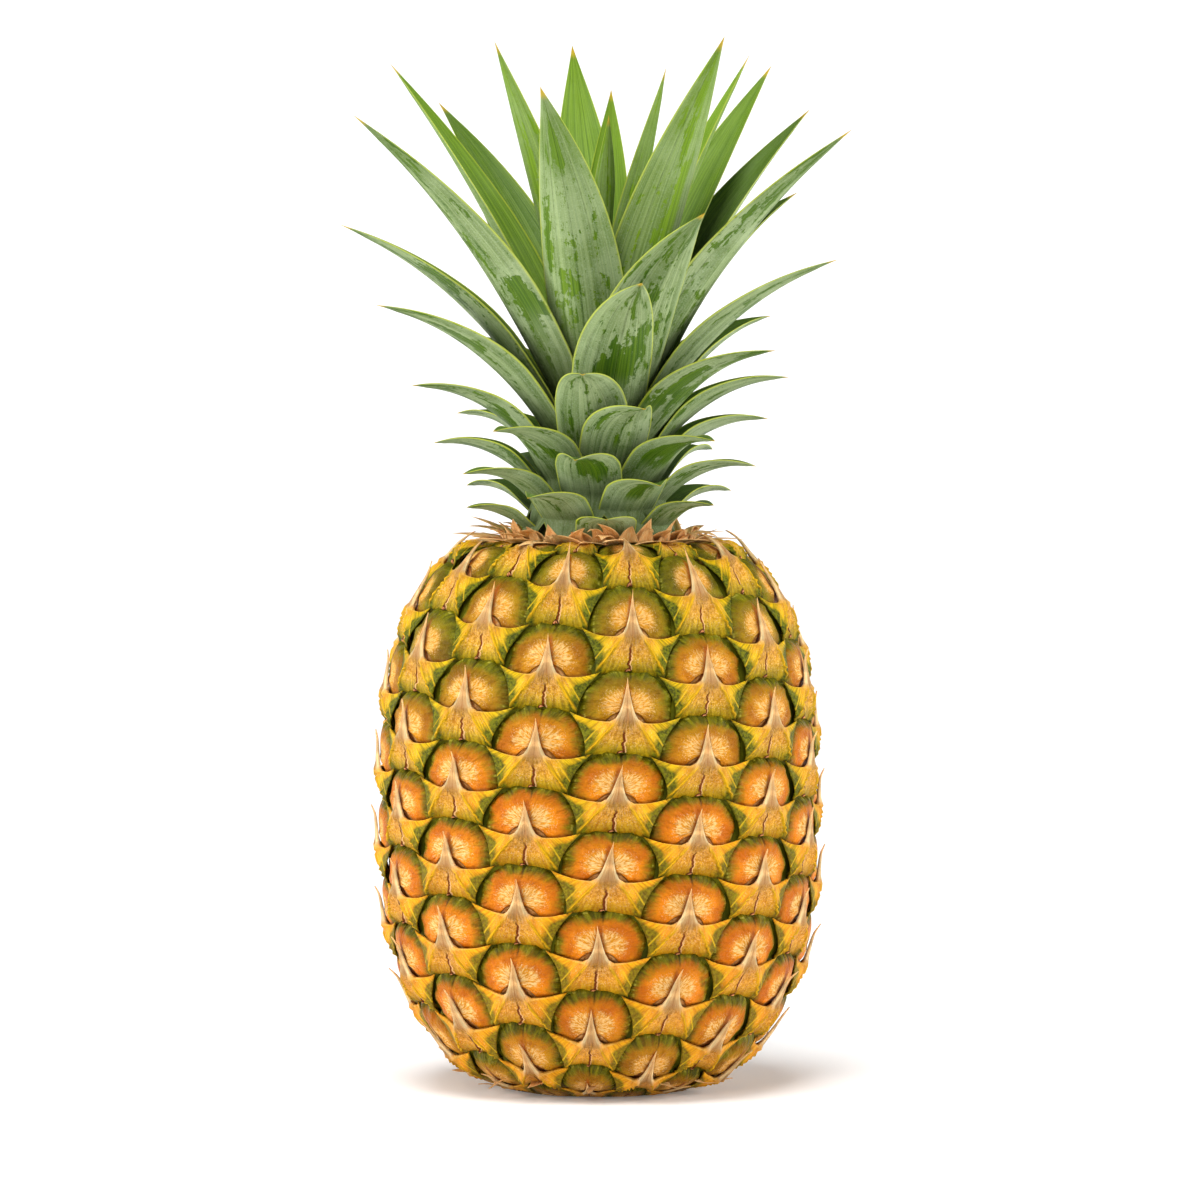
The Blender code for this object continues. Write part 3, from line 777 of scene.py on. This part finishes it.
# painted highlight on the second fold lines, over their own yellow
SECOND_FOLD_YELLOW_AND_HIGHLIGHT = (0.82, 0.50, 0.01, 1)
WING_EDGE = (0.95, 0.52, 0.10, 1)
SPINE_PALE = (0.80, 0.36, 0.10, 1), (0.97, 0.66, 0.30, 1)
SPINE_FOOT = (0.55, 0.17, 0.08, 1)
SPINE_RIB = (0.62, 0.22, 0.06, 1)
# cream edges of the spine, brightened as a painted highlight
SPINE_EDGE_CREAM_AND_HIGHLIGHT = (0.98, 0.72, 0.36, 1)
STRINGS = (0.92, 0.56, 0.25, 1)
CRACK_DARK = (0.20, 0.028, 0.002, 1)
CRACK_LIP = (0.95, 0.55, 0.25, 1)
BRACT_FOOT = (0.06, 0.035, 0.003, 1)
KNOB_RING = (0.10, 0.015, 0.001, 1)
KNOB_COLOUR = (0.85, 0.33, 0.12, 1)
print("gold and tan of the bracts:", BRACT_GOLD, BRACT_TAN)

# %% Finish of the bracts
def bract_finish():
    """Shares of each colour from local x and y. out is the distance outside the fold, and fan the bearing
    from the spine's middle, which the veins and the strings follow."""
    f = Finish("bract", 0.42, Specular_IOR_Level=0.12)
    place, tone = f.object_place(), f.value_of("tone")
    x, y, _ = f.split(f.uv_place())
    across = abs(x)
    out = across - (FOLD_X + FOLD_SPREAD * (0.02 - y).at_least(0.0))
    fan = f.bearing(x, 0.30 - y)
    grain = f.noise(place, 2400.0, 3.0, 0.6)
    speck = f.noise(place, 1300.0, 3.0, 0.6)
    blotch = f.noise(place, 200.0, 4.0, 0.6)
    veins = f.noise(f.join(fan * 6, tone * 5, y * 1.2), 4.0, 2.0, 0.5)
    tendon = f.noise(f.join(fan * 26, tone * 5, y * 0.8), 4.0, 2.0, 0.6)

    greener = f.split(place)[2].step(0.02, 0.14)
    leafy = (greener * 0.6 + (blotch - 0.5) * 0.9).step(0.12, 0.55)
    blush = out.bell(0.05, 0.18) * y.bell(-0.02, 0.2)
    between = out.step(0.0, -0.06) * y.step(-0.42, -0.12)
    middle = out.step(0.0, -0.05) + 0.5 * out.bell(0.07, 0.16)
    grains = (grain - 0.5).step(0.06, 0.14) * middle * y.step(-0.38, -0.25)
    flare = 1.4 * (y + 0.12).at_least(0.0)
    side = (across - 0.27 - flare + (blotch - 0.5) * 0.18).step(0.0, 0.13)
    corner = (out + (blotch - 0.5) * 0.2).step(0.09, 0.25) * y.step(0.03, -0.12)
    lower = (y + (blotch - 0.5) * 0.14).step(-0.15, -0.36) * (0.55 + 0.45 * out.step(-0.06, 0.05))
    # green at the sides, corners and lower edge: partly the bract's own green, partly painted shade
    shade = (corner * 0.6 + side + lower * 0.9).at_most(1.0)

    # painted highlight along the fold ridges, in ridge and second
    ridge = (out + (veins - 0.5) * 0.02).bell(0.0, 0.035) * y.step(-0.44, -0.30) * y.step(0.04, -0.06)
    second = (out + (veins - 0.5) * 0.03).bell(0.12, 0.018) * y.step(-0.40, -0.28) * y.step(-0.03, -0.10)
    top_edge = (y - wing_edge(across)).step(-0.03, -0.01) * across.step(0.13, 0.18)
    half = spine_half_width(y.at_least(0.03))
    spine = y.step(-0.05, 0.06) * (across - half).step(0.05, 0.0)
    foot = y.bell(0.0, 0.13) * across.step(0.09, 0.01)
    rib = (across + (tendon - 0.5) * 0.01).step(0.012, 0.003) * y.step(0.40, 0.25)
    pale = f.coats(
        f.mix(tendon.step(0.38, 0.60), *SPINE_PALE),
        (foot * 0.35, SPINE_FOOT),
        (rib * 0.5, SPINE_RIB),
        # painted highlight along the spine's cream edges
        ((across - half * 0.66).step(0.0, 0.012) * y.step(0.0, 0.06), SPINE_EDGE_CREAM_AND_HIGHLIGHT),
    )
    reach = ((x * x + (y - 0.03) ** 2) ** 0.5 + (tendon - 0.5) * 0.20).step(0.26, 0.10)
    strings = tendon.step(0.52, 0.62) * reach * y.step(0.02, -0.03)
    from_crack = x - ((f.noise(f.join(y * 6, tone * 9), 2.0, 2.0) - 0.5) * 0.10 - 0.01)
    crack = abs(from_crack).step(0.017, 0.005) * y.step(-0.05, -0.14)
    crack_lip = abs(from_crack - 0.022).step(0.012, 0.003) * y.step(-0.1, -0.2)
    from_knob = ((x - KNOB[0]) ** 2 + (y - KNOB[1]) ** 2) ** 0.5

    veined = veins.step(0.35, 0.65)
    f.feed("Base Color", f.coats(
        f.mix(leafy * 0.85, f.mix(veined, *BRACT_GOLD), f.mix(veined, *BRACT_LEAFY)),
        (blush * 0.6, BRACT_BLUSH),
        (between * 0.75, f.mix(speck.step(0.36, 0.66), *BRACT_TAN)),
        (grains * 0.5, BRACT_GRAINS),
        (shade * (0.82 + 0.16 * greener), f.mix(speck.step(0.35, 0.65), *BRACT_GREEN_AND_SHADE)),
        (ridge * 0.9, FOLD_YELLOW_AND_HIGHLIGHT),
        (second * 0.6, SECOND_FOLD_YELLOW_AND_HIGHLIGHT),
        (top_edge * across.step(0.58, 0.30) * 0.8, WING_EDGE),
        (spine * 0.95, pale),
        (strings * 0.75, STRINGS),
        (crack * 0.95, CRACK_DARK),
        (crack_lip * 0.8, CRACK_LIP),
        (y.step(-0.385, -0.44) * 0.75, BRACT_FOOT),
        (from_knob.step(0.055, 0.035), KNOB_RING),
        (from_knob.step(0.036, 0.024), KNOB_COLOUR),
    ))
    f.feed("Roughness", 0.38 + 0.2 * speck)
    bumps = speck * 0.6 + grain * 0.3 + veins * 0.5 + tendon * reach * 1.5 + ridge * 1.5 - crack * 2.0
    f.relief(bumps, 0.0008, 0.9)
    return f.material


# %% [markdown]
# The skin in the grooves is a cloudy green. Round the cut base it is dry and brown, with fibres that run
# outwards, so one material changes with the height.

# %% Colours of the grooves and the base
GROOVE_GREEN = (0.045, 0.048, 0.001, 1), (0.13, 0.125, 0.003, 1)
BASE_DRY = (0.13, 0.060, 0.016, 1), (0.44, 0.27, 0.11, 1)
print("green of the grooves:", GROOVE_GREEN)

# %% Finish of the skin in the grooves
def groove_finish():
    f = Finish("groove_skin", 0.7, Specular_IOR_Level=0.1)
    place = f.object_place()
    x, y, z = f.split(place)
    cloud = f.noise(place, 120.0, 4.0, 0.6)
    green = f.mix(cloud.step(0.35, 0.7), *GROOVE_GREEN)
    far = (x * x + y * y) ** 0.5
    fibres = f.noise(f.join(x / far * 7, y / far * 7, far * 110), 1.0, 4.0, 0.65)
    dry = f.mix(fibres.step(0.35, 0.65), *BASE_DRY)
    base = z.step(0.006, 0.002)
    f.feed("Base Color", f.mix(base, green, dry))
    f.relief(cloud + fibres * base * 2, 0.0004, 0.6)
    return f.material


# %% [markdown]
# Leaves have a grey waxy bloom on the outside, rubbed off in patches that show the green below, fine lines
# along the blade, a pale thin margin and a brown point. The inner faces and the innermost leaves are a
# brighter green. Painted shade darkens each leaf towards its foot, and a painted highlight lightens the outer
# part of the short leaves.

# %% Colours of the leaves
LEAF_BLOOM = (0.155, 0.235, 0.075, 1), (0.33, 0.41, 0.19, 1)
BLOOM_THIN = (0.070, 0.135, 0.018, 1)
BLOOM_THICK = (0.44, 0.53, 0.30, 1)
BLOOM_SPECKS = (0.50, 0.58, 0.40, 1)
LEAF_FRESH = (0.028, 0.085, 0.001, 1), (0.105, 0.20, 0.002, 1)
LEAF_BRIGHT = (0.10, 0.22, 0.001, 1), (0.26, 0.43, 0.012, 1)
# painted highlight on the outer part of the short leaves
SHORT_LEAF_HIGHLIGHT = (0.50, 0.58, 0.34, 1)
# painted shade towards the foot of each leaf
LEAF_FOOT_SHADE = (0.060, 0.085, 0.016, 1)
LEAF_CREASE = (0.05, 0.095, 0.010, 1)
LEAF_MARGIN = (0.50, 0.56, 0.05, 1)
LEAF_POINT = (0.62, 0.42, 0.03, 1)
print("bloom and green of the leaves:", LEAF_BLOOM, LEAF_BRIGHT)

# %% Finish of the leaves
def leaf_finish():
    """Shares of each colour from v across and u along the leaf. The noise is drawn out along u, and longer
    leaves have more of it along them."""
    f = Finish("crown_leaf", 0.45, Specular_IOR_Level=0.2)
    place = f.object_place()
    v, u, _ = f.split(f.uv_place())
    under, inner, tone, long = (f.value_of(name) for name in ("under", "inner", "tone", "long"))
    across = abs(v - 0.5) * 2
    lines = f.noise(f.join(v * 55, u * 1.2, tone * 9), 1.0, 3.0, 0.7)
    broad = f.noise(f.join(v * 10, u * 0.7, tone * 5), 1.0, 2.0, 0.5)
    fine = f.noise(place, 2200.0, 2.0, 0.6)
    cloud = f.noise(place, 60.0, 4.0, 0.6)
    patch = f.noise(f.join(v * 4.5 + tone * 20, u * 5.0 * long, tone * 13), 1.4, 6.0, 0.62)
    scratch = f.noise(f.join(v * 9.0 + tone * 31, u * 34 * long, tone * 7), 1.6, 5.0, 0.7)
    wide = f.noise(f.join(v * 2.0 + tone * 40, u * 2.6 * long, tone * 3), 1.5, 3.0, 0.55)

    worn = (patch + (scratch - 0.5) * 0.34 + (u - 0.4) * 0.06 - across * 0.08).step(0.545, 0.57)
    wide = (wide + (scratch - 0.5) * 0.30 - across * 0.10).step(0.525, 0.55) * u.step(0.15, 0.35)
    nicks = (scratch + (broad - 0.5) * 0.3).step(0.62, 0.66)
    rubbed = (worn + wide + nicks * 0.8).at_most(1.0) * u.step(0.03, 0.2)
    tip_green = (u.step(0.45, 0.95) * (0.6 + (patch - 0.5) * 2.5)).at_most(1.0).at_least(0.0)
    wander = across + (broad - 0.5) * 0.10
    creases = abs(wander).step(0.035, 0.0) + 0.7 * abs(wander - 0.45).step(0.022, 0.0)
    creases = (creases + 0.5 * abs(wander - 0.72).step(0.018, 0.0)).at_most(1.0) * under
    creases = creases * (0.4 + 0.6 * scratch.step(0.42, 0.58))
    margin = (across + (scratch - 0.5) * 0.04).step(0.94, 0.985)
    point = (u + (lines - 0.5) * 0.02).step(0.95, 0.98)

    bloom = f.coats(
        f.mix(lines.step(0.25, 0.75), *LEAF_BLOOM),
        (broad.step(0.42, 0.65) * 0.55, BLOOM_THIN),
        (cloud.step(0.45, 0.65) * 0.4, BLOOM_THICK),
        ((fine - 0.5).step(0.02, 0.12) * 0.22, BLOOM_SPECKS),
    )
    lined = lines.step(0.3, 0.7)
    bright = f.mix(lined, *LEAF_BRIGHT)
    own_green = f.mix(inner, f.mix(lined, *LEAF_FRESH), bright)
    outside = f.coats(
        bloom,
        (rubbed * 0.95, own_green),
        # painted highlight: the short leaves lighter towards their outer ends
        (u.step(0.35, 0.85) * (1 - rubbed) * (1 - long) * 0.5, SHORT_LEAF_HIGHLIGHT),
    )
    f.feed("Base Color", f.coats(
        f.mix(under, f.mix(0.25, own_green, bloom), outside),
        (inner * 0.5, bright),
        (tip_green * 0.7, own_green),
        # painted shade: each leaf darker towards its foot, more so on long leaves
        (u.step(0.34, 0.02) * (0.22 + 0.6 * long), LEAF_FOOT_SHADE),
        (creases * 0.6, LEAF_CREASE),
        (margin * (0.9 - 0.3 * long), LEAF_MARGIN),
        (point * 0.9, LEAF_POINT),
    ))
    f.feed("Roughness", 0.42 + 0.22 * (1 - rubbed) * under)
    bumps = lines * 0.6 + broad * 1.0 + fine * 0.25 - creases * 0.8 + rubbed * 0.2
    f.relief(bumps, 0.0005, 0.7)
    return f.material


# %% [markdown]
# The dried bracts are straw with fine lines and brown stains, the stem is a dull green kept dark as painted
# shade, so that it reads as shadow in the gaps between the leaves, and the cut stalk is pale pith with darker
# ends of fibres.

# %% Colours of the dry bits, the stem and the stalk
DRY_STRAW = (0.86, 0.40, 0.11, 1), (0.97, 0.66, 0.29, 1)
DRY_BROWN = (0.32, 0.11, 0.02, 1)
# the stem's green darkened as painted shade, so that it reads as shadow between the leaves
STEM_GREEN_AS_SHADE = (0.030, 0.045, 0.006, 1), (0.12, 0.13, 0.03, 1)
STALK_PITH = (0.50, 0.33, 0.15, 1), (0.74, 0.60, 0.36, 1)
STALK_FIBRE = (0.30, 0.17, 0.06, 1)
STALK_SKIN = (0.22, 0.11, 0.03, 1)
print("straw of the dry bits:", DRY_STRAW)

# %% Finishes of the dry bits, the stem and the cut stalk
def dry_finish():
    f = Finish("dry_bract", 0.7)
    place = f.object_place()
    v, u, _ = f.split(f.uv_place())
    lines = f.noise(f.join(v * 7, u * 1.2), 3.0, 3.0, 0.6)
    cloud = f.noise(place, 200.0, 3.0, 0.6)
    straw = f.mix(lines.step(0.35, 0.65), *DRY_STRAW)
    f.feed("Base Color", f.mix(cloud.step(0.52, 0.75) * 0.5, straw, DRY_BROWN))
    f.relief(lines + cloud * 0.5, 0.0005, 0.8)
    return f.material


def stem_finish():
    f = Finish("crown_stem", 0.6)
    place = f.object_place()
    cloud = f.noise(place, 260.0, 4.0, 0.6)
    # painted shade: the stem is kept dark so that the gaps between the leaves read as shadow
    f.feed("Base Color", f.mix(cloud.step(0.3, 0.7), *STEM_GREEN_AS_SHADE))
    f.relief(cloud, 0.0004, 0.6)
    return f.material


def stalk_finish():
    f = Finish("cut_stalk", 0.8)
    place = f.object_place()
    x, y, _ = f.split(place)
    far = (x * x + y * y) ** 0.5 * 1000
    inputs = {"Vector": place, "Scale": 750.0}
    fibres = f.node("ShaderNodeTexVoronoi", {"feature": "F1"}, inputs, "Distance").step(0.35, 0.1)
    cloud = f.noise(place, 240.0, 4.0, 0.6)
    f.feed("Base Color", f.coats(
        f.mix(cloud.step(0.35, 0.65), *STALK_PITH),
        (fibres * 0.6, STALK_FIBRE),
        (far.step(11.5, 13.5) * 0.8, STALK_SKIN),
    ))
    f.relief(cloud - fibres * 0.7, 0.0006, 0.8)
    return f.material


# %% [markdown]
# ## Put the pieces in place

# %% Fruit
points, faces = turned_skin()
make_piece("rind_grooves", points, faces, groove_finish(), ["fruit"], "rind")
points, faces, uv, tone = cushions()
make_piece("rind_eyes", points, faces, eye_finish(), ["fruit"], "rind", uv, tone=tone)
points, faces, uv, tone = bracts()
make_piece("rind_bracts", points, faces, bract_finish(), ["fruit"], "rind", uv, tone=tone)

# %% Crown
leaf_look = leaf_finish()
for i in range(LEAVES):
    points, faces, uv, under, leaf = leaf_mesh(i)
    inner = float(smooth_step((leaf.share - 0.74) / 0.22))
    name = f"leaf_{i + 1:02d}"
    values = {"under": under, "inner": inner, "tone": (i * 0.618) % 1.0, "long": leaf.length / 120}
    make_piece(name, points, faces, leaf_look, [f"crown_leaf_{i + 1:02d}"], "leaf", uv, **values)

# %% Dry bits
# Each set: how many, the radius and height of their feet, reach, half width, rise and seed.
DRY_SETS = {
    "dried_ring": (26, 24.6, 159.6, 10.0, 3.4, 6.0, 3),
    "dried_ring_outer": (24, 28.5, 158.6, 12.0, 4.2, 3.5, 5),
    "dried_ring_inner": (27, 26.6, 159.4, 4.5, 2.9, 6.8, 12),
}
BASE_BITS = (13, 35.5, 6.0, 5.0, 2.6, -3.0, 9)
dry_look = dry_finish()
for name, values in DRY_SETS.items():
    points, faces, uv = dry_strips(*values)
    make_piece(name, points, faces, dry_look, ["dried_bracts"], "dried_bract", uv)
points, faces, uv = dry_strips(*BASE_BITS)
make_piece("base_dry_bits", points, faces, dry_look, ["fruit"], "rind", uv)

# %% Stem and stalk
for node, look in (("crown_stem", stem_finish()), ("cut_stalk", stalk_finish())):
    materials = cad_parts[node].data.materials
    materials.clear()
    materials.append(look)
    print(node, "keeps its solid's shape")

# %% [markdown]
# ## Floor, light and camera
#
# A white floor that curves up far away, one large soft light above, and fill from the front and both sides,
# as in a catalogue photograph. The camera is far away with a long lens, a little above the fruit's middle.

# %% Floor
FLOOR_R, FLOOR_BEND, FLOOR_TOP = 5000.0, 1000.0, 1900.0
PAPER, WHITE, PAPER_GLOW = (0.93, 0.93, 0.93, 1), (1, 1, 1, 1), 0.10


def floor_sweep(sides=96):
    """A profile turned about the axis: flat to FLOOR_R, a quarter circle of FLOOR_BEND, up to FLOOR_TOP."""
    turn = np.linspace(0, math.pi / 2, 16)
    r = np.concatenate([[500], FLOOR_R + FLOOR_BEND * np.sin(turn), [FLOOR_R + FLOOR_BEND]])
    z = np.concatenate([[0], FLOOR_BEND - FLOOR_BEND * np.cos(turn), [FLOOR_TOP]])
    angle = np.arange(sides) * 2 * math.pi / sides
    rings = on_circle(r[:, None], z[:, None], angle[None, :]).reshape(-1, 3)
    walls = grid_faces(len(r), sides, closed=True)[:, ::-1]
    faces = fan_faces(len(rings), np.arange(sides)).tolist() + walls.tolist()
    mesh = bpy.data.meshes.new("floor")
    mesh.from_pydata(np.concatenate([rings, [[0, 0, 0]]]) * MM, [], faces)
    mesh.shade_smooth()
    paper = Finish("paper_sweep", 0.9, Base_Color=PAPER, Emission_Color=WHITE, Emission_Strength=PAPER_GLOW)
    mesh.materials.append(paper.material)
    made = bpy.data.objects.new("floor", mesh)
    bpy.context.scene.collection.objects.link(made)
    print("floor:", len(faces), "faces")


floor_sweep()

# %% Light
LIT_POINT = Vector((0, 0, 0.15))
scene = bpy.context.scene
scene.world = bpy.data.worlds.new("studio")
scene.world.use_nodes = True
background = scene.world.node_tree.nodes["Background"]
background.inputs["Color"].default_value = WHITE
background.inputs["Strength"].default_value = 0.1


def place_facing(made, place, target):
    """Puts a light or a camera at a place in metres and turns it to face the target."""
    made.location = place
    made.rotation_euler = (target - Vector(place)).to_track_quat("-Z", "Y").to_euler()
    scene.collection.objects.link(made)


def far_light(name, place, strength, degrees):
    """A distant light with a soft edge, as strong all over the floor."""
    light = bpy.data.lights.new(name, "SUN")
    light.energy, light.angle = strength, math.radians(degrees)
    place_facing(bpy.data.objects.new(name, light), place, LIT_POINT)


def soft_light(name, place, size, watts):
    """A square area light, its size in metres."""
    light = bpy.data.lights.new(name, "AREA")
    light.size, light.energy = size, watts
    place_facing(bpy.data.objects.new(name, light), place, LIT_POINT)


far_light("top", (-0.08, -0.35, 1.0), 2.9, 30)
soft_light("front", (-0.4, -1.6, 1.0), 0.5, 7)
soft_light("left", (-1.3, -0.1, 0.45), 0.7, 13)
soft_light("right", (1.3, -0.1, 0.45), 0.7, 12)
print("lights:", len(bpy.data.lights))

# %% Camera
CAMERA_PLACE, CAMERA_TARGET = (0.0, -1.8, 0.22), Vector((0.0003, 0, 0.142))
camera = bpy.data.objects.new("camera", bpy.data.cameras.new("camera"))
camera.data.lens, camera.data.sensor_width = 186.0, 36.0
place_facing(camera, CAMERA_PLACE, CAMERA_TARGET)
scene.camera = camera
scene.view_settings.view_transform = "Standard"
print("camera:", CAMERA_PLACE, "lens:", camera.data.lens)
